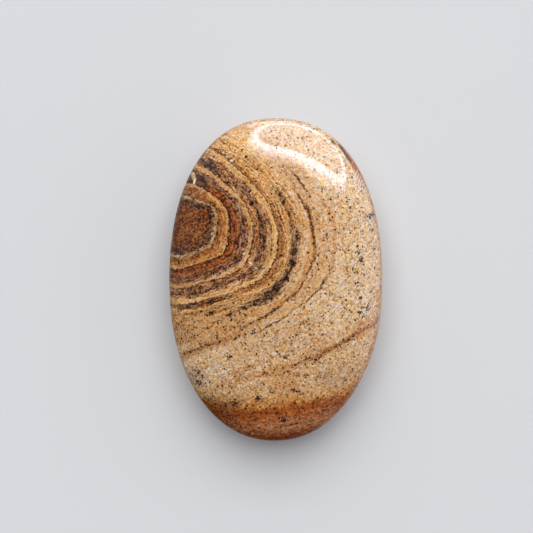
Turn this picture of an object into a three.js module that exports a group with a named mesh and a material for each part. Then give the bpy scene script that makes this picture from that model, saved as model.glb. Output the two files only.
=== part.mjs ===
import * as THREE from "three";

// A palm stone: one pebble of banded sandy jasper, ground and polished to an oval pillow that fits a hand.
// It lies face up on a small flat spot under its belly, with its long axis along Y and +Z up, in millimetres.
// The origin is in the middle of the flat spot, under the middle of the outline.

// Driving dimensions
const length = 70; // foot to crown, along Y
const width = 46.2; // flank to flank, along X
const thickness = 20; // flat spot to the top of the face
const girdleHeight = 10.2; // height of the widest line round the stone, where the face meets the back
const girdleLean = 0.5; // how much higher the girdle runs at the crown than at the waist
const flatSpot = 0.2; // the flat spot's size, as a share of the outline

// How full the form is: 2 is an ellipse, and more is squarer
const crownFullness = 2.26;
const footFullness = 2.14;
const faceFullness = 2.35;
const backFullness = 2.2;

// A place on the right of the foot that was ground a little flatter than the rest
const wornSide = { direction: -1.07, spread: 0.34, depth: 0.45 };

// How finely the solid is cut into facets
const facetsAround = 84;
const faceRows = 16;
const backRows = 14;

// Distance from the middle to the outline in a direction, which is an angle from +X:
// a superellipse whose fullness goes from the foot's to the crown's, less the worn place.
function outlineRadius(direction) {
  const c = Math.cos(direction);
  const s = Math.sin(direction);
  const fullness = (crownFullness + footFullness) / 2 + ((crownFullness - footFullness) / 2) * s;
  const across = Math.abs((2 * c) / width) ** fullness;
  const along = Math.abs((2 * s) / length) ** fullness;
  const away = direction - wornSide.direction;
  const turnedAway = Math.atan2(Math.sin(away), Math.cos(away));
  const worn = wornSide.depth * Math.exp(-((turnedAway / wornSide.spread) ** 2));
  return (across + along) ** (-1 / fullness) - worn;
}

// Height of the girdle in a direction: it climbs slowly from the foot to the crown.
function girdleAt(direction) {
  return girdleHeight + girdleLean * Math.sin(direction);
}

// The face's profile from the top, at turn 0, to the girdle, at a quarter turn. Share is how far out it is.
function facePoint(turn, direction) {
  const share = Math.sin(turn) ** (2 / faceFullness);
  const lean = girdleLean * Math.sin(direction) * share ** 2;
  return { share, height: girdleHeight + lean + (thickness - girdleHeight) * Math.cos(turn) };
}

// The back's profile from the edge of the flat spot, at turn 0, to the girdle, at a quarter turn.
function backPoint(turn, direction) {
  const share = flatSpot + (1 - flatSpot) * Math.sin(turn) ** (2 / backFullness);
  return { share, height: girdleAt(direction) * (1 - Math.cos(turn)) };
}

// The stone's skin: rings of points from the flat spot out over the back, round the girdle and up to the top.
function stoneGeometry() {
  const quarter = Math.PI / 2;
  const rings = [];
  for (let row = 0; row <= backRows; row++) {
    rings.push((direction) => backPoint((quarter * row) / backRows, direction));
  }
  for (let row = faceRows - 1; row > 0; row--) {
    rings.push((direction) => facePoint((quarter * row) / faceRows, direction));
  }

  const positions = [];
  for (const ring of rings) {
    for (let step = 0; step < facetsAround; step++) {
      const direction = (2 * Math.PI * step) / facetsAround;
      const { share, height } = ring(direction);
      const radius = share * outlineRadius(direction);
      positions.push(radius * Math.cos(direction), radius * Math.sin(direction), height);
    }
  }
  const underside = positions.length / 3;
  positions.push(0, 0, 0);
  const top = underside + 1;
  positions.push(0, 0, thickness);

  const faces = [];
  const lastRing = (rings.length - 1) * facetsAround;
  for (let step = 0; step < facetsAround; step++) {
    const next = (step + 1) % facetsAround;
    faces.push(underside, next, step);
    faces.push(top, lastRing + step, lastRing + next);
    for (let ring = 0; ring < lastRing; ring += facetsAround) {
      const [a, b] = [ring + step, ring + next];
      const [c, d] = [a + facetsAround, b + facetsAround];
      faces.push(a, b, d, a, d, c);
    }
  }

  const geometry = new THREE.BufferGeometry();
  geometry.setAttribute("position", new THREE.Float32BufferAttribute(positions, 3));
  geometry.setIndex(faces);
  geometry.computeBoundingBox();
  const middle = geometry.boundingBox.getCenter(new THREE.Vector3());
  geometry.translate(-middle.x, -middle.y, 0);
  geometry.computeVertexNormals();
  return geometry;
}

const polishedJasper = new THREE.MeshStandardMaterial({ color: 0xc79a66, roughness: 0.16, metalness: 0 });

const palmStone = new THREE.Mesh(stoneGeometry(), polishedJasper);
palmStone.name = "palm_stone";

const stone = new THREE.Group();
stone.add(palmStone);

export default stone;
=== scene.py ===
import math
from types import SimpleNamespace

import bpy
import numpy as np
from mathutils import Matrix, Vector


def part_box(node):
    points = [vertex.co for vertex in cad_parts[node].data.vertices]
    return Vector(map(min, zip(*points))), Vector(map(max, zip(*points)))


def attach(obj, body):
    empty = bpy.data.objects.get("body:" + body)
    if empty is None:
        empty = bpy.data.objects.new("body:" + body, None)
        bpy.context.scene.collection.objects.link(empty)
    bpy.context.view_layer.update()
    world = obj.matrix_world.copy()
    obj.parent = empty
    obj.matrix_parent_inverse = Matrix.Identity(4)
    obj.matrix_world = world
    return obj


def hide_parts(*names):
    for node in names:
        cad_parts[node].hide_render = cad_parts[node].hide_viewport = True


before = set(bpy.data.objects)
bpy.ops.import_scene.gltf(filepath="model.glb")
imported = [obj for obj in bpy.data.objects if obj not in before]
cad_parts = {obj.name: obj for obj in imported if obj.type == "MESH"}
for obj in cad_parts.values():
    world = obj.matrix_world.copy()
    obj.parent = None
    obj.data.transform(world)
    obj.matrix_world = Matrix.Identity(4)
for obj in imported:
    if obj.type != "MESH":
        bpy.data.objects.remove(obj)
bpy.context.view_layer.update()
print("frame loaded")

# The stone's form, in millimetres. Fullness is 2 for an ellipse and more for a squarer curve.
stoneForm = {
    "length": 70.0,
    "width": 46.2,
    "thickness": 20.0,
    "girdleHeight": 10.2,
    "girdleLean": 0.5,  # how much higher the girdle is at the crown than at the waist
    "flatSpot": 0.2,  # the flat spot's size, as a share of the outline
    "crownFullness": 2.26,
    "footFullness": 2.14,
    "faceFullness": 2.35,
    "backFullness": 2.2,
    "wornDirection": -1.07,  # a place on the right of the foot that was ground a little flatter
    "wornSpread": 0.34,
    "wornDepth": 0.45,
    "marksAbove": 9.0,  # height above which the face's own marks show
    "columns": 440,
    "flatRows": 6,
    "backRows": 84,
    "faceRows": 118,
}

# Small hollows in the polish that are deep enough to see: place, radius and depth in millimetres
hollows = [
    {"place": (-17.4, 21.7), "radius": (0.7, 1.2), "turn": -0.4, "depth": 0.3},
    {"place": (-9.5, 25.5), "radius": (0.55, 0.45), "turn": 0.0, "depth": 0.1},
]


# Distance from the middle to the outline in each direction: a superellipse whose fullness goes from
# the foot's to the crown's with the sine of the direction, less a bell-shaped worn place.
def outlineRadius(direction):
    form = stoneForm
    c, s = np.cos(direction), np.sin(direction)
    middle = (form["crownFullness"] + form["footFullness"]) / 2
    fullness = middle + (form["crownFullness"] - middle) * s
    across = np.abs(2 * c / form["width"]) ** fullness
    along = np.abs(2 * s / form["length"]) ** fullness
    away = direction - form["wornDirection"]
    away = np.arctan2(np.sin(away), np.cos(away))
    worn = form["wornDepth"] * np.exp(-((away / form["wornSpread"]) ** 2))
    return (across + along) ** (-1 / fullness) - worn


# The stone's skin on a grid of rows, from the flat spot to the top, by directions. On the back the share of
# the outline is the sine of the turn to a power, and the height falls with its cosine. The face is the same
# above the girdle. A hollow is a bell that goes down from the face.
def stoneGrid():
    form = stoneForm
    quarter = math.pi / 2
    direction = np.linspace(0, 2 * math.pi, form["columns"], endpoint=False)[None, :]
    girdle = form["girdleHeight"] + form["girdleLean"] * np.sin(direction)

    flatShare = np.linspace(0, form["flatSpot"], form["flatRows"], endpoint=False)[1:, None]
    backTurn = np.linspace(0, quarter, form["backRows"], endpoint=False)[:, None]
    backShare = form["flatSpot"] + (1 - form["flatSpot"]) * np.sin(backTurn) ** (2 / form["backFullness"])
    faceTurn = np.linspace(quarter, 0, form["faceRows"], endpoint=False)[:, None]
    faceShare = np.sin(faceTurn) ** (2 / form["faceFullness"])

    backHeight = girdle * (1 - np.cos(backTurn))
    faceHeight = (
        form["girdleHeight"]
        + form["girdleLean"] * np.sin(direction) * faceShare**2
        + (form["thickness"] - form["girdleHeight"]) * np.cos(faceTurn)
    )
    share = np.concatenate([flatShare, backShare, faceShare])
    height = np.concatenate([0 * flatShare * direction, backHeight, faceHeight])
    radius = share * outlineRadius(direction)
    x, y = radius * np.cos(direction), radius * np.sin(direction)
    middleX, middleY = (x.min() + x.max()) / 2, (y.min() + y.max()) / 2
    x, y = x - middleX, y - middleY
    onFace = height > form["girdleHeight"] + 1
    for hollow in hollows:
        dx, dy = x - hollow["place"][0], y - hollow["place"][1]
        c, s = math.cos(hollow["turn"]), math.sin(hollow["turn"])
        across = (c * dx + s * dy) / hollow["radius"][0]
        along = (c * dy - s * dx) / hollow["radius"][1]
        height = height - onFace * hollow["depth"] * np.exp(-(across**2) - along**2)
    faceRow = len(flatShare) + form["backRows"]
    return x, y, height, (-middleX, -middleY), faceRow


# The UV map is two ovals side by side, the face on the left and the back on the right
ovals = {"half": (0.243, 0.488), "face": (0.25, 0.5), "back": (0.75, 0.5)}


# How far along the skin each row is from its pole, from 0 there to 1 at the girdle, for an even UV map.
def rowReach(x, y, z, pole):
    points = np.stack([x, y, z], -1)
    points = np.concatenate([np.broadcast_to(pole, points[:1].shape), points])
    steps = np.linalg.norm(np.diff(points, axis=0), axis=-1).mean(1)
    run = np.cumsum(steps)
    return run / run[-1]


def makeStone():
    form = stoneForm
    x, y, z, middle, faceRow = stoneGrid()
    rows, columns = x.shape
    underside = np.array([[[middle[0], middle[1], 0.0]]])
    top = np.array([[[middle[0], middle[1], form["thickness"]]]])

    step = np.arange(columns)
    after = (step + 1) % columns
    start = np.arange(rows - 1)[:, None] * columns
    quads = np.stack([start + step, start + after, start + columns + after, start + columns + step], -1)
    quads = quads.reshape(-1, 4)
    hub, crown = rows * columns, rows * columns + 1
    lastRow = (rows - 1) * columns
    under = np.stack([np.full(columns, hub), after, step], -1)
    over = np.stack([np.full(columns, crown), lastRow + step, lastRow + after], -1)

    places = np.concatenate([np.stack([x, y, z], -1).reshape(-1, 3), underside[0], top[0]]) / 1000
    lowest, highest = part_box("palm_stone")
    low, high = places.min(0), places.max(0)
    places = (places - low) / (high - low) * (np.array(highest) - np.array(lowest)) + np.array(lowest)

    mesh = bpy.data.meshes.new("palmStone")
    mesh.from_pydata(places.tolist(), [], under.tolist() + quads.tolist() + over.tolist())
    mesh.shade_smooth()

    girdle = faceRow
    rim = np.stack([x[girdle] / x[girdle].max(), y[girdle] / y[girdle].max()], -1)
    backReach = rowReach(x[: girdle + 1], y[: girdle + 1], z[: girdle + 1], underside)
    faceReach = rowReach(x[girdle:][::-1], y[girdle:][::-1], z[girdle:][::-1], top)[::-1]
    half = np.array(ovals["half"])
    backSpots = np.array(ovals["back"]) + backReach[:, None, None] * rim * half * [-1, 1]
    faceSpots = np.array(ovals["face"]) + faceReach[:, None, None] * rim * half
    spots = np.zeros((rows, columns, 2))
    spots[:girdle] = backSpots[:girdle]
    spots[girdle:] = faceSpots
    flatSpots = np.concatenate([spots.reshape(-1, 2), [ovals["back"], ovals["face"]]])
    corners = np.concatenate([under.ravel(), quads.ravel(), over.ravel()])
    cornerSpots = flatSpots[corners]
    # the last ring of quads on the back takes its outer edge from the back's own oval
    first = under.size + (girdle - 1) * columns * 4
    lastBack = quads[(girdle - 1) * columns : girdle * columns].ravel()
    outer = lastBack >= girdle * columns
    ring = np.arange(first, first + columns * 4)[outer]
    cornerSpots[ring] = backSpots[girdle][lastBack[outer] - girdle * columns]
    layer = mesh.uv_layers.new(name="OFBake")
    layer.data.foreach_set("uv", cornerSpots.ravel())

    stone = bpy.data.objects.new("palmStone", mesh)
    bpy.context.collection.objects.link(stone)
    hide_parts("palm_stone")
    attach(stone, "root")
    print("stone made:", len(mesh.polygons), "faces")
    return stone


# Colours are given as they look on a screen under the studio light, from 0 to 255. The stone's own colour
# is what is left without the sheen of the polish, divided by how much brighter than white the light is.
studio = {"gain": 1.1, "sheen": 0.006, "darkest": 0.002}


def linear(red, green, blue):
    shown = np.array([red, green, blue]) / 255
    light = np.where(shown <= 0.04045, shown / 12.92, ((shown + 0.055) / 1.055) ** 2.4)
    own = np.maximum(light - studio["sheen"], studio["darkest"]) / studio["gain"]
    return (*own.tolist(), 1.0)


# The node tree that is being built, of the jasper or of the room
work = {"tree": None}


def newNode(kind):
    return work["tree"].nodes.new("ShaderNode" + kind)


def join(value, socket):
    if isinstance(value, bpy.types.NodeSocket):
        work["tree"].links.new(value, socket)
    else:
        socket.default_value = value


def joinAll(values, node):
    for value, socket in zip(values, node.inputs):
        join(value, socket)


# A sum, product or other calculation, as one node
def calc(operation, *values):
    node = newNode("Math")
    node.operation = operation
    joinAll(values, node)
    return node.outputs[0]


def product(first, *others):
    for other in others:
        first = calc("MULTIPLY", first, other)
    return first


def timesPlus(value, amount, base):
    return calc("MULTIPLY_ADD", value, amount, base)


# The value less a half, times an amount, added to a base
def swayed(value, amount, base):
    return timesPlus(calc("SUBTRACT", value, 0.5), amount, base)


def vectorCalc(operation, *values):
    node = newNode("VectorMath")
    node.operation = operation
    joinAll(values, node)
    isNumber = operation in ("DISTANCE", "DOT_PRODUCT")
    return node.outputs["Value" if isNumber else "Vector"]


def scaled(vector, amount):
    return vectorCalc("MULTIPLY", vector, (amount, amount, amount))


def dot(vector, way):
    return vectorCalc("DOT_PRODUCT", vector, way)


# Goes smoothly from low at the first place to high at the second
def fade(value, first, second, low=0.0, high=1.0):
    node = newNode("MapRange")
    node.interpolation_type = "SMOOTHSTEP"
    names = ("Value", "From Min", "From Max", "To Min", "To Max")
    for name, given in zip(names, (value, first, second, low, high)):
        join(given, node.inputs[name])
    return node.outputs["Result"]


# One between two places, with soft ends
def between(value, first, last, soft):
    begins = fade(value, first - soft, first + soft)
    ends = fade(value, last + soft, last - soft)
    return calc("MULTIPLY", begins, ends)


def mixColours(share, below, above, way="MIX"):
    node = newNode("Mix")
    node.data_type = "RGBA"
    node.blend_type = way
    join(share, node.inputs[0])
    join(below, node.inputs[6])
    join(above, node.inputs[7])
    return node.outputs[2]


# A ramp over a length, with its stops given in the same measure. A stop holds a screen colour, a share or,
# if it is a tint, how much of each colour is left.
def ramp(value, stops, tints=False):
    low, high = stops[0][0], stops[-1][0]
    node = newNode("ValToRGB")
    elements = node.color_ramp.elements
    while len(elements) < len(stops):
        elements.new(1.0)
    for element, (place, colour) in zip(elements, stops):
        element.position = (place - low) / (high - low)
        if tints:
            element.color = (*colour, 1.0)
        elif isinstance(colour, tuple):
            element.color = linear(*colour)
        else:
            element.color = (colour, colour, colour, 1.0)
    if (low, high) != (0, 1):
        value = calc("DIVIDE", calc("SUBTRACT", value, low), high - low)
    join(value, node.inputs[0])
    return node.outputs[0]


# Noise: how fast it changes each way, per millimetre, its detail and its roughness
patterns = {
    "wander": ((0.11, 0.11, 0.11), 1.5, 0.5),
    "waver": ((0.8, 0.8, 0.8), 3.0, 0.6),
    "mottle": ((0.9, 0.9, 0.9), 2.5, 0.6),
    "jag": ((1.5, 1.5, 1.5), 2.0, 0.6),
    "patchy": ((0.35, 0.35, 0.35), 2.0, 0.6),
    "spread": ((0.8, 0.8, 1.1), 2.0, 0.6),
    "crumbs": ((2.1, 2.1, 2.1), 2.0, 0.6),
    "footLamina": ((0.35, 1.3, 1.3), 3.0, 0.65),
    # across the beds, along them and up
    "broad": ((0.7, 0.16, 0.16), 2.0, 0.5),
    "fine": ((2.6, 0.3, 0.3), 3.0, 0.7),
    "streaky": ((3.2, 0.6, 0.6), 2.0, 0.6),
    "drift": ((1.5, 0.3, 0.3), 2.0, 0.6),
    "hair": ((4.2, 0.26, 0.26), 1.0, 0.5),
}


# One random number, or three of them when the colour is asked for
def pattern(place, name, output=0):
    perMillimetre, detail, roughness = patterns[name]
    node = newNode("TexNoise")
    join(vectorCalc("MULTIPLY", place, perMillimetre), node.inputs["Vector"])
    node.inputs["Scale"].default_value = 1.0
    node.inputs["Detail"].default_value = detail
    node.inputs["Roughness"].default_value = roughness
    return node.outputs[output]


# Three random numbers for each grain of sand, and how far a place is from the grain's middle
def grains(place, perMillimetre):
    node = newNode("TexVoronoi")
    join(place, node.inputs["Vector"])
    node.inputs["Scale"].default_value = perMillimetre
    return *separate(node.outputs["Color"]), node.outputs["Distance"]


def combine(x, y, z):
    node = newNode("CombineXYZ")
    joinAll((x, y, z), node)
    return node.outputs[0]


def separate(vector):
    node = newNode("SeparateXYZ")
    join(vector, node.inputs[0])
    return node.outputs


# How the beds are folded. Places are in millimetres from the middle of the outline, and turns in degrees.
fold = {
    "centre": (-21.5, 10.2),
    # how far a bed reaches in each direction from the centre, as a share of its reach to the right
    "reach": [
        (-180, 0.70), (-100, 0.70), (-85, 0.70), (-70, 0.72), (-58, 0.74), (-45, 0.81), (-34, 0.90),
        (-22, 0.985), (-10, 1.0), (2, 0.995), (14, 0.96), (24, 0.92), (34, 0.88), (44, 0.86),
        (54, 0.87), (65, 0.89), (78, 0.93), (92, 0.95), (180, 0.70),
    ],
    "bendBelow": 14.0,  # height under which the beds swing over to the left and the foot
    "swing": (0.05, -0.022),  # in millimetres per square millimetre of depth
    "wander": 1.2,  # how far the beds stray, over about a centimetre
    "waver": 1.1,  # and over about a millimetre
    "pinch": 1.6,  # how much a bed thins and swells along its run
    "grainShift": 0.45,  # how far the grains of one bed mix with the next
    "crispShift": 0.18,  # and those of a seam or a pale bed
    "alongTurn": 14.0,  # how long a turn along a bed is for the noise, in millimetres per radian
    "brokenBelow": 0.4,  # seams of less than this half width are broken
    "broken": (0.36, 0.5, 0.45, 1.0),  # by the mottle: from and to which value, and how much shows there
    "jag": 1.3,  # how jagged the pale beds' edges are
    # the core's rim is pushed outwards in the upper arm of the fold
    "coreShift": 4.6,
    "coreShiftTurns": [(-25, 0.0), (-8, 0.06), (9, 0.3), (22, 0.66), (34, 1.0), (52, 0.56), (75, 0.28)],
    "coreShiftReach": (20.0, 6.0),
}

# The beds from the fold's core outwards: distance in millimetres, and colour without the dark specks
innerBeds = [
    (0.0, (129, 73, 36)),
    (5.0, (134, 77, 37)),
    (5.7, (124, 78, 48)),
    (6.9, (134, 90, 62)),
    (7.3, (172, 130, 90)),
    (8.1, (164, 109, 60)),
    (9.0, (160, 100, 53)),
    (9.7, (186, 126, 68)),
    (10.9, (186, 130, 76)),
    (11.2, (116, 60, 28)),
    (12.0, (160, 88, 42)),
    (13.2, (154, 90, 50)),
    (14.2, (150, 102, 70)),
    (15.4, (162, 118, 84)),
    (16.6, (188, 142, 98)),
    (17.0, (196, 134, 82)),
    (17.8, (186, 130, 82)),
    (18.4, (174, 122, 82)),
    (19.2, (182, 132, 90)),
    (20.2, (204, 152, 102)),
    (21.0, (206, 158, 108)),
    (21.8, (212, 164, 110)),
    (22.2, (188, 128, 72)),
    (23.3, (194, 138, 86)),
    (23.9, (216, 164, 106)),
    (24.4, (208, 160, 108)),
    (25.2, (198, 152, 100)),
    (26.8, (200, 154, 104)),
    (27.6, (211, 171, 125)),
    (34.0, (224, 192, 153)),
]
outerBeds = [
    (34.0, (224, 192, 153)),
    (43.5, (226, 195, 156)),
    (46.6, (222, 188, 146)),
    (53.0, (218, 178, 132)),
    (72.0, (214, 170, 120)),
]
# The foot: the line of its upper edge, its golden fringe above that on the left and the right, and its
# darker left part
foot = {
    "level": -26.9,
    "lowest": -7.0,
    "curve": 0.0062,
    "grainShift": 1.3,
    "pinch": 1.6,
    "fringe": (-3.6, -1.4),
    "fringeWay": (0.0, 7.0),
    "fullBelow": 0.2,
    "leftColour": (108, 66, 38),
    "leftWay": (-5.0, -12.0),
    "leftShare": 0.55,
    "darkShare": 0.16,
}
# Its beds, from the edge down
footBeds = [
    (-3.2, (222, 180, 126)),
    (-1.4, (214, 160, 94)),
    (0.2, (200, 132, 66)),
    (1.2, (168, 91, 34)),
    (2.1, (160, 83, 32)),
    (2.8, (188, 109, 50)),
    (3.6, (178, 106, 58)),
    (4.6, (188, 126, 80)),
    (6.0, (184, 122, 80)),
    (7.0, (162, 86, 40)),
    (8.4, (140, 64, 26)),
]
paleLook = {
    "patches": (0.3, 0.5, 0.7, 1.0),  # where they are weaker: from and to which noise, and the shares there
    "outerEdge": (-0.08, 0.08),
    "innerEdge": (1.2, 0.3),  # shares of the bed's width
    "seam": ((-0.6, -0.2), (0.05, -0.1)),
    # how much they change the share of dark grains, and their grains' tone and hue
    "dark": -0.7,
    "tone": -0.55,
    "hue": -0.55,
    "grey": 0.26,
}
# Pale beds with a jagged outer edge, and the dark seam just outside it: the edge's distance, the bed's
# width, its colour and share, and the seam's colour and share
paleBeds = [
    (8.0, 1.1, (184, 152, 108), 0.8, (96, 54, 28), 0.5),
    (11.05, 0.9, (208, 158, 98), 0.9, (66, 30, 14), 0.9),
    (16.75, 1.3, (210, 164, 108), 0.9, (76, 42, 24), 0.8),
    (21.85, 1.5, (220, 178, 118), 0.95, (96, 50, 24), 0.85),
    (24.6, 0.7, (216, 168, 106), 0.8, (110, 64, 32), 0.5),
]
# How many of the grains are dark specks, from the core outwards
darkShare = [
    (0.0, 0.16), (4.8, 0.2), (5.6, 0.6), (7.0, 0.7), (7.3, 0.12), (8.2, 0.2), (9.4, 0.2), (10.0, 0.1),
    (11.0, 0.04), (11.4, 0.4), (13.2, 0.36), (14.0, 0.44), (15.5, 0.42), (16.0, 0.08), (16.7, 0.1),
    (17.0, 0.3), (17.8, 0.2), (18.3, 0.5), (19.0, 0.42), (19.8, 0.24), (20.4, 0.12), (20.9, 0.04),
    (21.8, 0.06), (22.2, 0.3), (23.4, 0.14), (24.4, 0.05), (25.4, 0.13), (26.8, 0.08), (27.5, 0.03),
    (29.0, 0.045), (34.0, 0.08),
]
# How strongly the sand is laid in thin laminae, and how much the grains differ, along the same way
laminaStrength = [(0.0, 0.6), (6.0, 0.8), (12.0, 1.0), (26.0, 0.9), (29.0, 0.25), (36.0, 0.15)]
gritStrength = [
    (0.0, 2.4), (6.0, 2.2), (9.0, 1.2), (12.0, 1.2), (26.0, 0.9), (29.0, 0.6), (36.0, 0.62), (44.0, 0.78),
]

# Between which shares of its half width a line fades out
lineEdges = {"seam": (1.3, 0.6), "streak": (1.5, 0.4), "dash": (1.2, 0.7)}
# How softly things end, in millimetres, and how far out the full part of a spot reaches, as a share
softEnds = {"streak": 1.6, "veinSide": 0.25, "veinEnd": 1.2, "ticks": 0.4, "dash": 0.3}
cores = {"patch": 0.3, "cluster": 0.3, "blot": 0.2}

# Seams that show over a part of the fold only: distance, or its value at both ends, half width, turns,
# how softly they end, colour, its share, and the share of dark specks
seams = [
    (18.7, 1.0, (-92, -46), 6, (120, 84, 58), 0.5, 0.5),
    (18.9, 0.7, (-46, 30), 8, (112, 80, 58), 0.5, 0.5),
    (20.0, 0.9, (-36, -4), 6, (148, 98, 60), 0.5, 0.4),
    (17.9, 0.6, (52, 76), 5, (78, 64, 54), 0.7, 0.75),
    (12.8, 1.6, (54, 110), 6, (108, 74, 48), 0.75, 0.6),
    (22.8, 0.7, (-38, 0), 5, (160, 102, 54), 0.6, 0.2),
    (24.4, 0.5, (-2, 14), 3, (158, 94, 46), 0.75, 0.2),
    (25.8, 0.95, (-28, 0), 4, (120, 88, 66), 0.6, 0.75),
    ((27.2, 25.9), 1.1, (-43, -26), 4, (118, 86, 64), 0.6, 0.8),
    ((28.4, 27.2), 0.55, (-60, -43), 4, (112, 80, 58), 0.7, 0.75),
    (25.2, 0.7, (2, 26), 4, (164, 114, 70), 0.6, 0.28),
    (29.3, 0.6, (-50, 16), 7, (208, 148, 84), 0.7, 0.04),
    ((29.9, 28.9), 0.28, (-8, 18), 2, (104, 58, 30), 0.9, 0.45),
    ((29.9, 30.1), 0.32, (-33, -8), 2, (100, 56, 30), 0.9, 0.5),
    ((33.5, 29.8), 0.34, (-56, -33), 2, (92, 54, 32), 0.9, 0.7),
    ((33.0, 33.9), 0.24, (-33, -17), 2, (84, 56, 40), 0.9, 0.5),
    ((35.9, 33.0), 0.26, (-50, -33), 2, (84, 56, 40), 0.9, 0.6),
    (33.9, 0.55, (-17, 12), 5, (198, 132, 72), 0.5, 0.1),
    (31.6, 2.0, (-62, 8), 12, (204, 154, 98), 0.42, 0.1),
    (31.0, 2.6, (12, 64), 12, (204, 156, 104), 0.38, 0.06),
    (22.4, 0.4, (22, 60), 6, (134, 88, 54), 0.6, 0.3),
    (24.6, 2.2, (16, 80), 8, (222, 170, 104), 0.35, 0.12),
    (22.9, 0.7, (-92, -50), 6, (130, 90, 58), 0.3, 0.65),
    (31.1, 0.3, (17, 27), 4, (80, 54, 40), 0.9, 0.5),
    (30.5, 5.0, (-100, -50), 10, (200, 148, 88), 0.6, 0.2),
]

# Straight seams in the lower field: both ends, half width, colour, share and the share of dark specks
streaks = [
    ((-10.5, -14.6), (10.0, -10.2), 4.4, (190, 140, 88), 0.36, 0.07),
    ((-20.5, -16.9), (-7.5, -11.2), 1.0, (190, 126, 66), 0.55, 0.14),
    ((-19.5, -16.0), (-10.0, -12.4), 0.4, (160, 104, 56), 0.5, 0.3),
    ((21.0, -9.0), (-2.0, -20.4), 1.5, (206, 148, 86), 0.45, 0.1),
    ((22.6, -8.4), (8.4, -16.7), 0.5, (158, 100, 52), 0.7, 0.3),
    ((8.9, -16.2), (3.1, -18.2), 0.35, (150, 96, 52), 0.6, 0.3),
    ((-9.6, -20.0), (-3.6, -17.4), 0.6, (196, 134, 70), 0.5, 0.06),
    ((-13.0, -22.9), (0.0, -18.9), 0.8, (198, 136, 72), 0.5, 0.08),
]
# Soft patches of another shade on the face: middle, radius, colour and share
patches = [
    ((18.6, -10.8), 3.2, (212, 152, 88), 0.55),
    ((2.1, -21.6), 4.6, (200, 142, 78), 0.5),
    ((12.0, -20.6), 4.0, (176, 146, 112), 0.45),
    ((-17.4, -21.0), 3.2, (180, 150, 122), 0.5),
    ((0.0, 20.6), 3.2, (226, 176, 112), 0.4),
    ((-7.6, 29.0), 5.2, (242, 202, 142), 0.5),
]
# Loose clusters of dark specks: middle, radius and share of dark grains
clusters = [
    ((20.3, 13.6), 2.8, 0.2), ((17.6, 4.5), 3.0, 0.2), ((18.6, -6.5), 3.0, 0.22),
    ((-10.1, -16.5), 2.0, 0.25), ((-16.6, -21.6), 2.8, 0.24), ((-8.9, -26.5), 1.8, 0.4),
    ((-3.9, -25.5), 2.4, 0.25), ((1.6, -30.1), 1.8, 0.35), ((4.4, -24.0), 2.4, 0.25),
    ((9.4, -16.2), 2.6, 0.2), ((-8.0, 21.0), 1.6, 0.2),
]
# Black blots, and the specks round them: middle, radius and strength
blots = [
    # the fold's upper arm
    ((-10.5, 21.0), 1.1, 0.62), ((-12.1, 22.1), 1.0, 0.6), ((-13.8, 23.9), 0.9, 0.56),
    ((-15.7, 21.1), 1.1, 0.6), ((-5.8, 19.0), 0.9, 0.6), ((-5.2, 16.3), 1.2, 0.6),
    ((-4.4, 18.2), 0.7, 0.55), ((0.1, 20.3), 0.9, 0.55), ((1.4, 16.3), 1.2, 0.6),
    ((0.9, 18.2), 0.8, 0.55), ((-14.2, 14.6), 1.2, 0.56),
    # its dark seam
    ((4.7, 9.4), 1.5, 0.57), ((4.4, 6.2), 1.8, 0.57), ((3.6, 3.6), 1.6, 0.57),
    ((2.2, 0.3), 1.6, 0.6), ((-0.2, -1.6), 1.7, 0.58), ((-1.4, -3.7), 1.6, 0.58),
    ((-4.4, -5.2), 1.2, 0.58), ((-6.7, -6.0), 1.0, 0.58),
    # the lower arm
    ((-18.8, -5.6), 1.1, 0.6), ((-17.2, -5.0), 1.2, 0.6), ((-13.9, -4.4), 0.9, 0.58),
    ((-9.7, -3.8), 1.1, 0.6), ((-18.5, -1.7), 1.0, 0.56), ((-15.9, -1.4), 0.9, 0.56),
    ((-15.9, -6.7), 1.0, 0.57), ((-13.8, -7.2), 1.3, 0.56), ((-9.7, -7.5), 1.0, 0.57),
    ((-5.0, -9.2), 1.0, 0.57), ((-8.0, -8.9), 0.8, 0.58), ((-8.6, -12.5), 0.9, 0.6),
    # the lower field and the foot
    ((2.1, -16.6), 1.1, 0.62), ((9.9, -11.6), 0.7, 0.6), ((8.8, -16.8), 1.5, 0.54),
    ((-10.1, -16.5), 1.4, 0.56), ((-16.8, -19.6), 1.5, 0.55), ((-16.4, -22.2), 1.5, 0.56),
    ((-8.9, -26.5), 1.4, 0.6), ((-3.9, -25.5), 1.4, 0.57), ((-1.0, -23.6), 1.2, 0.54),
    ((4.0, -23.6), 1.5, 0.55), ((1.6, -30.1), 1.5, 0.58),
    # the right side
    ((15.2, 17.4), 1.3, 0.54), ((15.9, 15.4), 0.9, 0.58), ((18.6, 20.1), 0.8, 0.58),
    ((20.4, 13.8), 1.5, 0.56), ((20.5, 10.6), 1.6, 0.56), ((21.0, 6.4), 1.3, 0.55),
    ((17.6, 5.9), 1.5, 0.57), ((18.3, 4.2), 1.3, 0.58), ((16.8, 2.0), 1.5, 0.57),
    ((18.8, 1.2), 1.1, 0.57), ((17.5, -1.0), 1.4, 0.54), ((18.0, -3.8), 1.2, 0.57),
    ((19.7, -5.9), 1.2, 0.6), ((17.9, -7.1), 1.5, 0.58), ((10.0, -0.7), 0.9, 0.57),
]

# A rusty vein that stands on edge in the crown's right shoulder: the ways across and along it, where it
# lies, and the dark dashes on its inner side, each with its distance across, its ends and its half width
vein = {
    "across": (0.821, 0.571, 0),
    "along": (-0.571, 0.821, 0),
    "rust": (27.7, 29.4),
    "span": (6.8, 16.8),
    "lean": -0.075,  # how its place across goes with the place along it
    "start": 1.2,  # and what is added to it
    "waver": 0.35,
    "colour": (178, 98, 46),
    "share": 0.95,
    "dashes": [(27.1, (16.6, 18.1), 0.26), (27.8, (11.6, 16.2), 0.32)],
}
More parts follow.
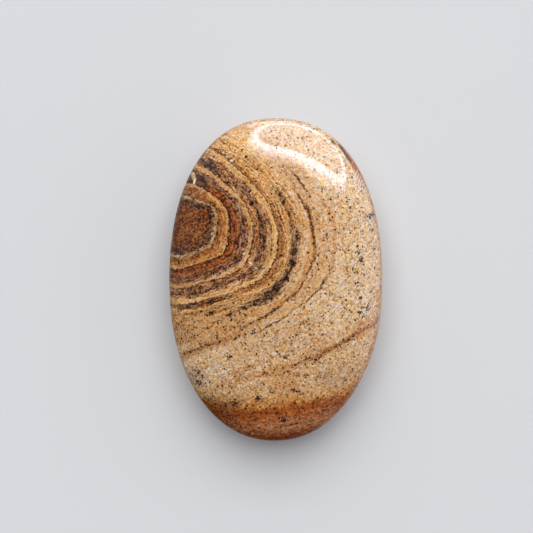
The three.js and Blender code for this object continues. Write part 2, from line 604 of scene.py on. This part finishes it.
# A row of pale ticks beside the vein's end
ticks = {
    "middle": 26.0,  # how far across their middles are
    "lean": 0.145,  # and how that grows along the vein
    "halfWidths": (0.7, 0.45),  # where the band ends, and where it is full
    "crests": (0.0, 0.7),  # which heights of the wave show
    "span": (4.4, 9.6),
    "apart": 0.72,
    "slant": -0.64,
    "colour": (224, 214, 212),
    "share": 0.8,
    "bandColour": (196, 146, 104),
    "bandShare": 0.5,
}
# The right rim is a little more orange: heights and places between which that comes, and goes over the top
rightRim = {
    "colour": (210, 140, 80),
    "under": (13.6, 11.6),
    "over": (7.0, 9.0),
    "right": (13.0, 18.0),
    "upwards": (8.0, 15.0),
    "shares": (0.35, 0.75),
}

# Pale marks left in the polish: middle, half length, half width, turn in degrees, colour and share
paleMarks = [
    # The first three are the pale filling of the hollow in the upper left. Their colour is painted lighter
    # than the filling's own, as painted light on the hollow's steep side, which the lamps leave dim.
    ((-17.75, 22.3), 1.2, 0.5, -70, (240, 204, 152), 0.6),
    ((-17.5, 21.2), 0.7, 0.22, 80, (246, 240, 230), 0.85),
    ((-17.8, 22.9), 0.35, 0.2, 10, (238, 222, 196), 0.6),
    ((-9.5, 25.5), 0.28, 0.22, 30, (246, 240, 230), 0.85),
    ((-5.4, 3.6), 0.55, 0.16, -42, (240, 224, 204), 0.9),
    ((-4.3, 2.6), 0.4, 0.14, -42, (240, 224, 204), 0.5),
    ((-6.8, 5.6), 0.3, 0.2, 30, (240, 224, 204), 0.7),
]
markLook = {"waver": 0.5, "rim": (1.4, 0.5)}

# The sand: cells per millimetre, and how much each thing changes the tone and the hue
sand = {
    "grains": 2.3,
    "fineGrains": 4.3,
    "specks": 1.9,
    "tone": 0.55,
    "fineTone": 0.8,
    "mottleTone": 0.4,
    "laminaTone": 3.0,
    "footLaminaTone": 1.7,
    "laidTone": 0.05,
    "driftHue": 1.9,
    "spreadHue": (-0.5, 1.15),  # in the laid beds, added to that in the field
}
# How the grains' tone tints their bed, from the darkest to the lightest
toneTints = [
    (-0.5, (0.10, 0.06, 0.035)),
    (0.0, (0.40, 0.26, 0.13)),
    (0.25, (0.76, 0.61, 0.44)),
    (0.5, (1.0, 0.98, 0.94)),
    (0.75, (1.17, 1.25, 1.43)),
    (1.0, (1.38, 1.60, 2.0)),
    (1.5, (1.9, 2.4, 3.3)),
]
# And their hue, from golden to grey
hueTints = [(0.0, (1.17, 0.95, 0.46)), (0.5, (1.0, 1.0, 1.0)), (1.0, (0.93, 1.03, 1.36))]
# Dark things leave some of each colour under them, or have a screen colour of their own. "Above" and
# "below" say between which values of a noise they come, and "patches" which noise, and how much there.
hairlines = {"left": (0.26, 0.2, 0.16), "share": 0.65, "below": (0.41, 0.33)}
stains = {"left": (0.86, 0.6, 0.32), "above": (0.72, 0.82), "patches": (0.35, 0.6, 0.35, 0.75)}
specks = {
    "left": (0.2, 0.12, 0.07),
    "colour": (24, 20, 19),
    "burntAbove": (0.2, 0.6),
    "share": 0.95,
    "size": (0.25, 0.32),  # how much larger than the smallest a speck may be, and the smallest
    "rim": (1.1, 0.8),  # where it ends and is full, as shares of the size
    "patches": (0.64, 0.36, -0.6, 0.7),
    "patchesInBeds": (0.6, 0.4),
    "laminae": -6.0,
    "likely": (-0.7, 2.0),  # in the laid beds, added to that in the field
}
fineSpecks = {"left": (0.3, 0.2, 0.13), "share": 0.75, "likely": 0.6}
darkLines = {"colour": (44, 30, 23), "share": 0.7, "above": (0.67, 0.72), "fromDark": 0.26}
blotLook = {"colour": (30, 27, 27), "share": 0.92, "above": (0.98, 1.08)}
dashLook = {"colour": (52, 46, 46), "share": 0.9, "broken": (0.4, 0.5)}
# The polish is not quite even from grain to grain
polish = {
    "roughness": 0.1,
    "ior": 1.54,
    "specular": 0.42,
    "unevenness": 0.12,
    "unevenDepth": 0.000006,
    "broadUneven": 1.2,
}


# Lays a screen colour over the rock's own, as much as the product of the shares says
def lay(rock, hue, *shares):
    rock.colour = mixColours(product(*shares), rock.colour, linear(*hue))


# Leaves only some of each colour, as much as the product of the shares says
def tint(rock, left, *shares):
    tinted = mixColours(1.0, rock.colour, (*left, 1.0), "MULTIPLY")
    rock.colour = mixColours(product(*shares), rock.colour, tinted)


# Raises the share of dark grains
def darken(rock, *shares):
    rock.dark = calc("MAXIMUM", rock.dark, product(*shares))


# How far a pattern of noise pushes a place aside
def stray(place, name, amount):
    aside = vectorCalc("SUBTRACT", pattern(place, name, "Color"), (0.5, 0.5, 0.5))
    return scaled(aside, amount)


# A line at a distance, which fades out between two shares of its half width
def line(value, middle, half, kind):
    outer, inner = lineEdges[kind]
    off = calc("ABSOLUTE", calc("SUBTRACT", value, middle))
    return fade(off, outer * half, inner * half)


# A share that is full round a place on the face, and falls to none at the radius
def spot(flat, middle, radius, core, share):
    gap = vectorCalc("DISTANCE", flat, (*middle, 0))
    return fade(gap, radius, core * radius, 0.0, share)


# Where a place lies on the stone, and what its grains of sand are
def readPlace(rock):
    whole = newNode("TexCoord").outputs["Object"]
    rock.place = scaled(whole, 1000)  # millimetres
    rock.x, rock.y, rock.z = separate(rock.place)
    rock.onFace = calc("GREATER_THAN", rock.z, stoneForm["marksAbove"])
    rock.placeFlat = vectorCalc("MULTIPLY", rock.place, (1, 1, 0))

    rock.waverBy = stray(rock.place, "waver", fold["waver"])
    rock.rough = vectorCalc("ADD", rock.place, rock.waverBy)
    rock.roughFlat = vectorCalc("MULTIPLY", rock.rough, (1, 1, 0))
    rock.mottle = pattern(rock.place, "mottle")
    rock.jag = pattern(rock.place, "jag")
    rock.patchy = pattern(rock.place, "patchy")

    rock.toneOf, rock.shiftOf, rock.stainOf, _ = grains(rock.rough, sand["grains"])
    rock.fineToneOf, rock.fineShiftOf, rock.fineKindOf, _ = grains(rock.rough, sand["fineGrains"])
    speck = grains(rock.rough, sand["specks"])
    rock.speckToneOf, rock.speckSizeOf, rock.speckKindOf, rock.fromSpeck = speck


# The share of a bed's reach in each direction from the fold's centre, as a smooth curve
def foldCurve(turn):
    node = newNode("FloatCurve")
    points = node.mapping.curves[0].points
    spots = [((angle + 180) / 360, share) for angle, share in fold["reach"]]
    points[0].location, points[1].location = spots[0], spots[-1]
    for place in spots[1:-1]:
        points.new(*place)
    node.mapping.update()
    join(timesPlus(turn, 1 / 360, 0.5), node.inputs["Value"])
    return node.outputs[0]


# The beds swing over below the shoulder, with the square of the depth, and stray a little. A place's reach
# is its distance from the fold's centre divided by the fold's curve, so it is the same all along a bed.
def foldBeds(rock):
    depth = calc("MAXIMUM", calc("SUBTRACT", fold["bendBelow"], rock.z), 0.0)
    swing = calc("MULTIPLY", depth, depth)
    swung = combine(product(swing, fold["swing"][0]), product(swing, fold["swing"][1]), 0.0)
    bent = vectorCalc("ADD", rock.rough, stray(rock.place, "wander", fold["wander"]))
    rock.bentX, rock.bentY, _ = separate(vectorCalc("ADD", bent, swung))
    rock.bentFlat = combine(rock.bentX, rock.bentY, 0.0)

    dx = calc("SUBTRACT", rock.bentX, fold["centre"][0])
    dy = calc("SUBTRACT", rock.bentY, fold["centre"][1])
    away = calc("SQRT", timesPlus(dx, dx, calc("MULTIPLY", dy, dy)))
    bearing = calc("ARCTAN2", dy, dx)
    rock.turn = calc("MULTIPLY", bearing, 180 / math.pi)
    evenReach = calc("DIVIDE", away, foldCurve(rock.turn))
    pushed = product(
        ramp(rock.turn, fold["coreShiftTurns"]),
        fade(evenReach, *fold["coreShiftReach"], 0.0, fold["coreShift"]),
    )
    evenReach = calc("SUBTRACT", evenReach, pushed)

    # across the beds, along them and up, for noise that is stretched along the beds
    rock.bedPlace = combine(evenReach, calc("MULTIPLY", bearing, fold["alongTurn"]), rock.z)
    rock.broad = pattern(rock.bedPlace, "broad")
    rock.reach = swayed(rock.broad, fold["pinch"], evenReach)
    rock.crispReach = swayed(rock.shiftOf, fold["crispShift"], rock.reach)
    rock.laid = ramp(rock.reach, laminaStrength)


def layBeds(rock):
    grainReach = swayed(rock.shiftOf, fold["grainShift"], rock.reach)
    isOuter = calc("GREATER_THAN", grainReach, innerBeds[-1][0])
    inner, outer = ramp(grainReach, innerBeds), ramp(grainReach, outerBeds)
    rock.colour = mixColours(isOuter, inner, outer)
    rock.dark = ramp(rock.reach, darkShare)


def laySeams(rock):
    broken = fade(rock.mottle, *fold["broken"])
    for middle, half, turns, soft, hue, share, thick in seams:
        if isinstance(middle, tuple):
            slope = (middle[1] - middle[0]) / (turns[1] - turns[0])
            middle = timesPlus(rock.turn, slope, middle[0] - slope * turns[0])
        shown = line(rock.crispReach, middle, half, "seam")
        shown = product(shown, between(rock.turn, *turns, soft))
        if half < fold["brokenBelow"]:
            shown = product(shown, broken)
        lay(rock, hue, shown, share)
        darken(rock, shown, thick)


def layStreaks(rock):
    for start, end, half, hue, share, thick in streaks:
        long = math.dist(start, end)
        way = ((end[0] - start[0]) / long, (end[1] - start[1]) / long, 0)
        fromStart = vectorCalc("SUBTRACT", rock.bentFlat, (*start, 0))
        run = dot(fromStart, way)
        off = dot(fromStart, (-way[1], way[0], 0))
        shown = line(off, 0.0, half, "streak")
        shown = product(shown, between(run, 0.0, long, softEnds["streak"]), rock.onFace)
        lay(rock, hue, shown, share)
        darken(rock, shown, thick)


def layPatches(rock):
    for middle, radius, hue, share in patches:
        lay(rock, hue, spot(rock.roughFlat, middle, radius, cores["patch"], share), rock.onFace)


# The foot's beds are nearly level, under a line that bends up with the square of the way from its lowest
# place
def layFoot(rock):
    fromLowest = calc("SUBTRACT", rock.bentX, foot["lowest"])
    edge = timesPlus(product(fromLowest, fromLowest), foot["curve"], foot["level"])
    below = swayed(rock.shiftOf, foot["grainShift"], calc("SUBTRACT", edge, rock.bentY))
    below = swayed(rock.broad, foot["pinch"], below)
    fringe = fade(rock.x, *foot["fringeWay"], *foot["fringe"])
    rock.inFoot = fade(below, fringe, foot["fullBelow"])
    onLeft = fade(rock.x, *foot["leftWay"], 0.0, foot["leftShare"])
    footColour = mixColours(onLeft, ramp(below, footBeds), linear(*foot["leftColour"]))
    rock.colour = mixColours(rock.inFoot, rock.colour, footColour)
    darken(rock, rock.inFoot, foot["darkShare"])


def layVein(rock):
    near = vectorCalc("ADD", rock.place, scaled(rock.waverBy, vein["waver"]))
    rock.along = dot(near, vein["along"])
    rock.across = dot(near, vein["across"])
    outer = timesPlus(rock.along, vein["lean"], calc("ADD", rock.across, vein["start"]))
    inside = between(outer, *vein["rust"], softEnds["veinSide"])
    inside = product(inside, between(rock.along, *vein["span"], softEnds["veinEnd"]))
    lay(rock, vein["colour"], inside, rock.onFace, vein["share"])


def layRightRim(rock):
    under = fade(rock.z, *rightRim["under"])
    over = fade(rock.z, *rightRim["over"])
    right = fade(rock.x, *rightRim["right"])
    upwards = fade(rock.y, *rightRim["upwards"], *rightRim["shares"])
    lay(rock, rightRim["colour"], under, over, right, upwards)


# The ticks are the crests of a sine along a slanted way, inside a narrow band
def layTickBand(rock):
    fromLow = timesPlus(rock.along, -ticks["lean"], rock.across)
    phase = timesPlus(rock.across, ticks["slant"], rock.along)
    wave = calc("SINE", calc("MULTIPLY", phase, 2 * math.pi / ticks["apart"]))
    fromTicks = calc("ABSOLUTE", calc("SUBTRACT", fromLow, ticks["middle"]))
    beside = fade(fromTicks, *ticks["halfWidths"])
    beside = product(beside, between(rock.along, *ticks["span"], softEnds["ticks"]), rock.onFace)
    rock.tick = product(fade(wave, *ticks["crests"]), beside)
    lay(rock, ticks["bandColour"], beside, ticks["bandShare"])


# Pale beds have jagged edges and a patchy strength, and fewer dark grains
def layPaleBeds(rock):
    jagged = swayed(rock.jag, fold["jag"], rock.crispReach)
    strength = fade(rock.patchy, *paleLook["patches"])
    rock.pale = 0.0
    for edge, wide, hue, share, seamHue, seamShare in paleBeds:
        inside = calc("SUBTRACT", edge, jagged)
        outer, inner = paleLook["innerEdge"]
        pale = fade(inside, *paleLook["outerEdge"])
        pale = product(pale, fade(inside, outer * wide, inner * wide), strength, share)
        lay(rock, hue, pale)
        begins, ends = paleLook["seam"]
        lay(rock, seamHue, fade(inside, *begins), fade(inside, *ends), seamShare)
        rock.dark = product(rock.dark, timesPlus(pale, paleLook["dark"], 1.0))
        rock.pale = calc("MAXIMUM", rock.pale, pale)


# Grains are lighter or darker than their bed, more so along the laminae
def tintByTone(rock):
    tone = swayed(rock.toneOf, sand["tone"], 0.0)
    tone = swayed(rock.fineToneOf, sand["fineTone"], tone)
    tone = swayed(rock.mottle, sand["mottleTone"], tone)
    tone = product(tone, ramp(rock.reach, gritStrength))
    fine = calc("SUBTRACT", pattern(rock.bedPlace, "fine"), 0.5)
    rock.lamina = product(fine, rock.laid)
    tone = timesPlus(rock.lamina, sand["laminaTone"], tone)
    footLamina = calc("SUBTRACT", pattern(rock.place, "footLamina"), 0.5)
    tone = calc("ADD", tone, product(footLamina, rock.inFoot, sand["footLaminaTone"]))
    tone = timesPlus(tone, timesPlus(rock.pale, paleLook["tone"], 1.0), 0.5)
    tone = timesPlus(rock.laid, sand["laidTone"], tone)
    tints = ramp(tone, toneTints, tints=True)
    rock.colour = mixColours(1.0, rock.colour, tints, "MULTIPLY")


# They are also more golden or more grey than their bed
def tintByHue(rock):
    drift = calc("SUBTRACT", pattern(rock.bedPlace, "drift"), 0.5)
    spread = pattern(rock.place, "spread")
    hue = calc("MULTIPLY", calc("ADD", rock.shiftOf, rock.fineShiftOf), 0.5)
    hue = timesPlus(product(drift, rock.laid), sand["driftHue"], hue)
    hue = swayed(spread, timesPlus(rock.laid, *sand["spreadHue"]), hue)
    hue = timesPlus(product(hue, rock.pale), paleLook["hue"], hue)
    hue = timesPlus(rock.pale, paleLook["grey"], hue)
    tints = ramp(hue, hueTints, tints=True)
    rock.colour = mixColours(1.0, rock.colour, tints, "MULTIPLY")


# Dark hairlines run along the laminae
def addHairlines(rock):
    hair = fade(pattern(rock.bedPlace, "hair"), *hairlines["below"])
    aboveFoot = calc("SUBTRACT", 1.0, rock.inFoot)
    tint(rock, hairlines["left"], hair, rock.laid, aboveFoot, hairlines["share"])


def addStains(rock):
    common = fade(rock.patchy, *stains["patches"])
    tint(rock, stains["left"], fade(rock.stainOf, *stains["above"]), common)


# Dark specks are round, and gather in patches and along the laminae
def addSpecks(rock):
    inPatches = fade(rock.mottle, *specks["patches"])
    gather = product(timesPlus(rock.laid, *specks["patchesInBeds"]), inPatches)
    inLaminae = timesPlus(rock.lamina, specks["laminae"], 1.0)
    gather = product(calc("ADD", gather, 1.0), inLaminae)
    rock.dark = product(rock.dark, gather)
    for middle, radius, share in clusters:
        darken(rock, spot(rock.placeFlat, middle, radius, cores["cluster"], share), rock.onFace)

    burnt = mixColours(1.0, rock.colour, (*specks["left"], 1.0), "MULTIPLY")
    isBurnt = fade(rock.speckToneOf, *specks["burntAbove"])
    speckColour = mixColours(isBurnt, linear(*specks["colour"]), burnt)
    isFine = calc("LESS_THAN", rock.fineKindOf, product(rock.dark, fineSpecks["likely"]))
    tint(rock, fineSpecks["left"], isFine, fineSpecks["share"])
    size = timesPlus(rock.speckSizeOf, *specks["size"])
    likely = product(rock.dark, timesPlus(rock.laid, *specks["likely"]))
    isSpeck = calc("LESS_THAN", rock.speckKindOf, likely)
    inside = fade(calc("DIVIDE", rock.fromSpeck, size), *specks["rim"])
    rock.colour = mixColours(product(isSpeck, inside, specks["share"]), rock.colour, speckColour)


# In the fold the dark grains also run together in thin broken lines
def addDarkLines(rock):
    streaky = pattern(rock.bedPlace, "streaky")
    lined = timesPlus(product(rock.dark, rock.laid), darkLines["fromDark"], streaky)
    lined = fade(lined, *darkLines["above"], 0.0, darkLines["share"])
    lay(rock, darkLines["colour"], lined, rock.laid)


# Black blots, broken up by fine noise
def addBlots(rock):
    blotted = 0.0
    for middle, radius, strength in blots:
        blot = spot(rock.roughFlat, middle, radius, cores["blot"], strength)
        blotted = calc("MAXIMUM", blotted, blot)
    blotted = calc("ADD", blotted, pattern(rock.place, "crumbs"))
    blotted = fade(blotted, *blotLook["above"], 0.0, blotLook["share"])
    lay(rock, blotLook["colour"], blotted, rock.onFace)


def addDashesAndTicks(rock):
    broken = fade(rock.jag, *dashLook["broken"])
    for offset, ends, half in vein["dashes"]:
        dash = line(rock.across, offset, half, "dash")
        dash = product(dash, between(rock.along, *ends, softEnds["dash"]), rock.onFace)
        lay(rock, dashLook["colour"], dash, broken, dashLook["share"])
    lay(rock, ticks["colour"], rock.tick, ticks["share"])


# A pale mark is an ellipse: the squares of the shares of its half length and half width add up to one at
# its rim
def addPaleMarks(rock):
    near = vectorCalc("ADD", rock.place, scaled(rock.waverBy, markLook["waver"]))
    nearX, nearY, _ = separate(near)
    for middle, halfLength, halfWidth, angle, hue, share in paleMarks:
        c, s = math.cos(math.radians(angle)), math.sin(math.radians(angle))
        fromX = calc("SUBTRACT", nearX, middle[0])
        fromY = calc("SUBTRACT", nearY, middle[1])
        run = timesPlus(fromX, c / halfLength, product(fromY, s / halfLength))
        side = timesPlus(fromY, c / halfWidth, product(fromX, -s / halfWidth))
        size = timesPlus(run, run, product(side, side))
        lay(rock, hue, fade(size, *markLook["rim"]), rock.onFace, share)


def makeJasper():
    material = bpy.data.materials.new("polishedJasper")
    material.use_nodes = True
    work["tree"] = material.node_tree
    material.node_tree.nodes.clear()
    output = newNode("OutputMaterial")
    shader = newNode("BsdfPrincipled")
    join(shader.outputs[0], output.inputs["Surface"])

    rock = SimpleNamespace()
    layers = [readPlace, foldBeds, layBeds, laySeams, layStreaks, layPatches, layFoot, layVein, layRightRim]
    layers += [layTickBand, layPaleBeds, tintByTone, tintByHue, addHairlines, addStains, addSpecks]
    layers += [addDarkLines, addBlots, addDashesAndTicks, addPaleMarks]
    for layer in layers:
        layer(rock)

    join(rock.colour, shader.inputs["Base Color"])
    shader.inputs["Roughness"].default_value = polish["roughness"]
    shader.inputs["IOR"].default_value = polish["ior"]
    shader.inputs["Specular IOR Level"].default_value = polish["specular"]
    bump = newNode("Bump")
    bump.inputs["Strength"].default_value = polish["unevenness"]
    bump.inputs["Distance"].default_value = polish["unevenDepth"]
    join(swayed(rock.mottle, polish["broadUneven"], rock.toneOf), bump.inputs["Height"])
    join(bump.outputs[0], shader.inputs["Normal"])
    print("jasper made:", len(material.node_tree.nodes), "nodes")
    return material


camera = {
    "lens": 135.0,
    "frameWidth": 0.1156,  # how much of the girdle's plane the picture is wide
    "over": (-0.00202, 0.00288),
    "sensorWidth": 36.0,
    "sees": (0.01, 20.0),
}


def placeCamera():
    data = bpy.data.cameras.new("camera")
    data.lens = camera["lens"]
    data.sensor_width = camera["sensorWidth"]
    data.clip_start, data.clip_end = camera["sees"]
    away = camera["lens"] / data.sensor_width * camera["frameWidth"]
    holder = bpy.data.objects.new("camera", data)
    holder.location = (*camera["over"], away + stoneForm["girdleHeight"] / 1000)
    bpy.context.collection.objects.link(holder)
    bpy.context.scene.camera = holder
    print("camera placed")


# A squarish hoop of a lamp beyond the crown, made of strips. Its near side is broad, with a soft outer
# edge, and the others are thin. Lengths are in metres, and angles in degrees from the stone's shoulder.
hoop = {
    "target": (0.006, 0.026, 0.015),
    "polar": 65.0,  # from straight up to the hoop's plane
    "direction": 69.5,  # from +X
    "roll": 8.0,
    "distance": 0.8,
    "middle": (-0.028, 0.09),
    "wide": 0.462,  # half its width and height
    "tall": 0.42,
    "fullness": 3.0,  # 2 for an ellipse, and more for a squarer hoop
    # how broad its left and right sides and its far edge are, as shares of the near one
    "leftWidth": 0.75,
    "rightWidth": 0.38,
    "farWidth": 0.36,
    "farDim": 0.65,  # the far edge's radiance, as a share of the near one's
    # heights, as shares of the hoop's, over which the light dims and the sides' width turns into the edges'
    "dimOver": 0.35,
    "edgeFrom": 0.2,
    "edgeOver": 0.5,
    "strips": 48,
    "overlap": 1.05,
    # how far out each layer lies, its width at the near side, and its radiance
    "layers": [(1.0, 0.078, 8.0), (1.03, 0.125, 6.6), (1.06, 0.18, 3.2)],
    # the dim wall inside and behind it
    "wall": {"distance": 0.95, "size": (1.08, 0.98), "radiance": 2.8},
}
# Other lights: polar, direction, distance, size, radiance and what they light. Those of the polish show in
# it only, and the body's light falls on the stone and the floor, but doesn't show in the polish.
panels = {
    "right": (92.0, 10.0, 0.9, (1.3, 0.9), 0.9, "polish"),
    "beyond": (102.0, 83.0, 0.9, (0.8, 0.35), 4.4, "polish"),
    "key": (27.0, 90.0, 3.0, (3.2, 3.2), 3.35, "body"),
}
lampColours = {"polish": (0.9, 0.93, 1.08), "body": (0.94, 0.96, 1.0)}
# The room is dark above, and brighter all round, most of all to the right and beyond the crown
room = {
    "above": 0.17,
    "around": 0.4,
    "right": 0.25,
    "beyond": 0.36,
    "blue": 1.02,
    # heights between which the light from above comes, and that from all round goes
    "aboveFrom": (-0.2, 0.1),
    "aroundTo": (0.8, 0.4),
}


def direct(polar, direction):
    polar, direction = math.radians(polar), math.radians(direction)
    level = math.sin(polar)
    return Vector((level * math.cos(direction), level * math.sin(direction), math.cos(polar)))


# A light that faces the target, with its long side along the given way
def makeLight(name, middle, target, along, size, radiance, part="polish", shape="RECTANGLE"):
    data = bpy.data.lights.new(name, "AREA")
    data.shape = shape
    data.size, data.size_y = size
    data.energy = radiance * math.pi * data.size * data.size_y
    data.color = lampColours[part]
    back = (middle - target).normalized()  # a light shines down its own -Z
    sideways = (along - back * along.dot(back)).normalized()
    lamp = bpy.data.objects.new(name, data)
    turned = Matrix((sideways, back.cross(sideways), back)).transposed()
    lamp.matrix_world = Matrix.Translation(middle) @ turned.to_4x4()
    lamp.visible_diffuse = part == "body"
    lamp.visible_glossy = part == "polish"
    bpy.context.collection.objects.link(lamp)


# The hoop is a superellipse. Its width turns from the sides' into the edges' with the height in it.
def makeHoop():
    target = Vector(hoop["target"])
    out = direct(hoop["polar"], hoop["direction"])
    level = direct(90, hoop["direction"] + 90)
    side = Matrix.Rotation(math.radians(hoop["roll"]), 3, out) @ level
    up = side.cross(out)
    middle = target + out * hoop["distance"]
    turns = np.linspace(0, 2 * math.pi, hoop["strips"] + 1)
    c, s = np.cos(turns), np.sin(turns)
    power = 2 / hoop["fullness"]
    sides = hoop["middle"][0] + hoop["wide"] * np.sign(c) * np.abs(c) ** power
    heights = hoop["middle"][1] + hoop["tall"] * np.sign(s) * np.abs(s) ** power
    blend = np.clip(s / hoop["dimOver"], -1, 1) / 2 + 0.5
    edge = np.clip((np.abs(s) - hoop["edgeFrom"]) / hoop["edgeOver"], 0, 1)
    sideWidth = np.where(c > 0, hoop["leftWidth"], hoop["rightWidth"])
    thick = sideWidth + (np.where(s > 0, hoop["farWidth"], 1.0) - sideWidth) * edge
    spots = [middle + side * u + up * v for u, v in zip(sides.tolist(), heights.tolist())]
    heart = middle + side * hoop["middle"][0] + up * hoop["middle"][1]
    for start, end, share, far in zip(spots, spots[1:], thick.tolist(), blend.tolist()):
        strip = end - start
        outward = strip.cross(out).normalized()
        if outward.dot((start + end) / 2 - heart) < 0:
            outward = -outward
        for away, width, radiance in hoop["layers"]:
            size = (strip.length * hoop["overlap"] * away, width * share * away)
            spot = target + ((start + end) / 2 + outward * width * share * (1 - far) / 2 - target) * away
            dimmed = radiance * (1 - far * (1 - hoop["farDim"]))
            makeLight("strip", spot, target, strip, size, dimmed)
    wall = hoop["wall"]
    behind = target + (heart - target) * wall["distance"] / hoop["distance"]
    makeLight("wall", behind, target, side, wall["size"], wall["radiance"], shape="ELLIPSE")


def makePanels():
    target = Vector(hoop["target"])
    for name, (polar, direction, distance, size, radiance, part) in panels.items():
        over = target + direct(polar, direction) * distance
        makeLight(name, over, target, direct(90, direction + 90), size, radiance, part)
    print("lights made")


def makeRoom():
    world = bpy.data.worlds.new("room")
    bpy.context.scene.world = world
    world.use_nodes = True
    work["tree"] = world.node_tree
    facing = separate(newNode("TexCoord").outputs["Generated"])
    sides = timesPlus(facing[0], room["right"], room["around"])
    sides = timesPlus(facing[1], room["beyond"], sides)
    sides = calc("MAXIMUM", sides, 0.0)
    above = fade(facing[2], *room["aboveFrom"], 0.0, room["above"])
    light = timesPlus(fade(facing[2], *room["aroundTo"]), sides, above)
    colour = combine(light, light, product(light, room["blue"]))
    join(colour, world.node_tree.nodes["Background"].inputs["Color"])
    print("room made")


floorLook = {"colour": (0.655, 0.66, 0.665), "roughness": 0.9, "specular": 0.1, "reach": 3.0}


def makeFloor():
    mesh = bpy.data.meshes.new("floor")
    reach = floorLook["reach"]
    corners = [(-reach, -reach, 0), (reach, -reach, 0), (reach, reach, 0), (-reach, reach, 0)]
    mesh.from_pydata(corners, [], [(0, 1, 2, 3)])
    material = bpy.data.materials.new("paleFloor")
    material.use_nodes = True
    shader = material.node_tree.nodes["Principled BSDF"]
    shader.inputs["Base Color"].default_value = (*floorLook["colour"], 1)
    shader.inputs["Roughness"].default_value = floorLook["roughness"]
    shader.inputs["Specular IOR Level"].default_value = floorLook["specular"]
    mesh.materials.append(material)
    floor = bpy.data.objects.new("floor", mesh)
    bpy.context.collection.objects.link(floor)
    floor.visible_glossy = False  # the polish shows the room in its place
    print("floor made")


placeCamera()
makeHoop()
makePanels()
makeRoom()
makeFloor()
stone = makeStone()
stone.data.materials.append(makeJasper())

bpy.context.scene.view_settings.view_transform = "Standard"
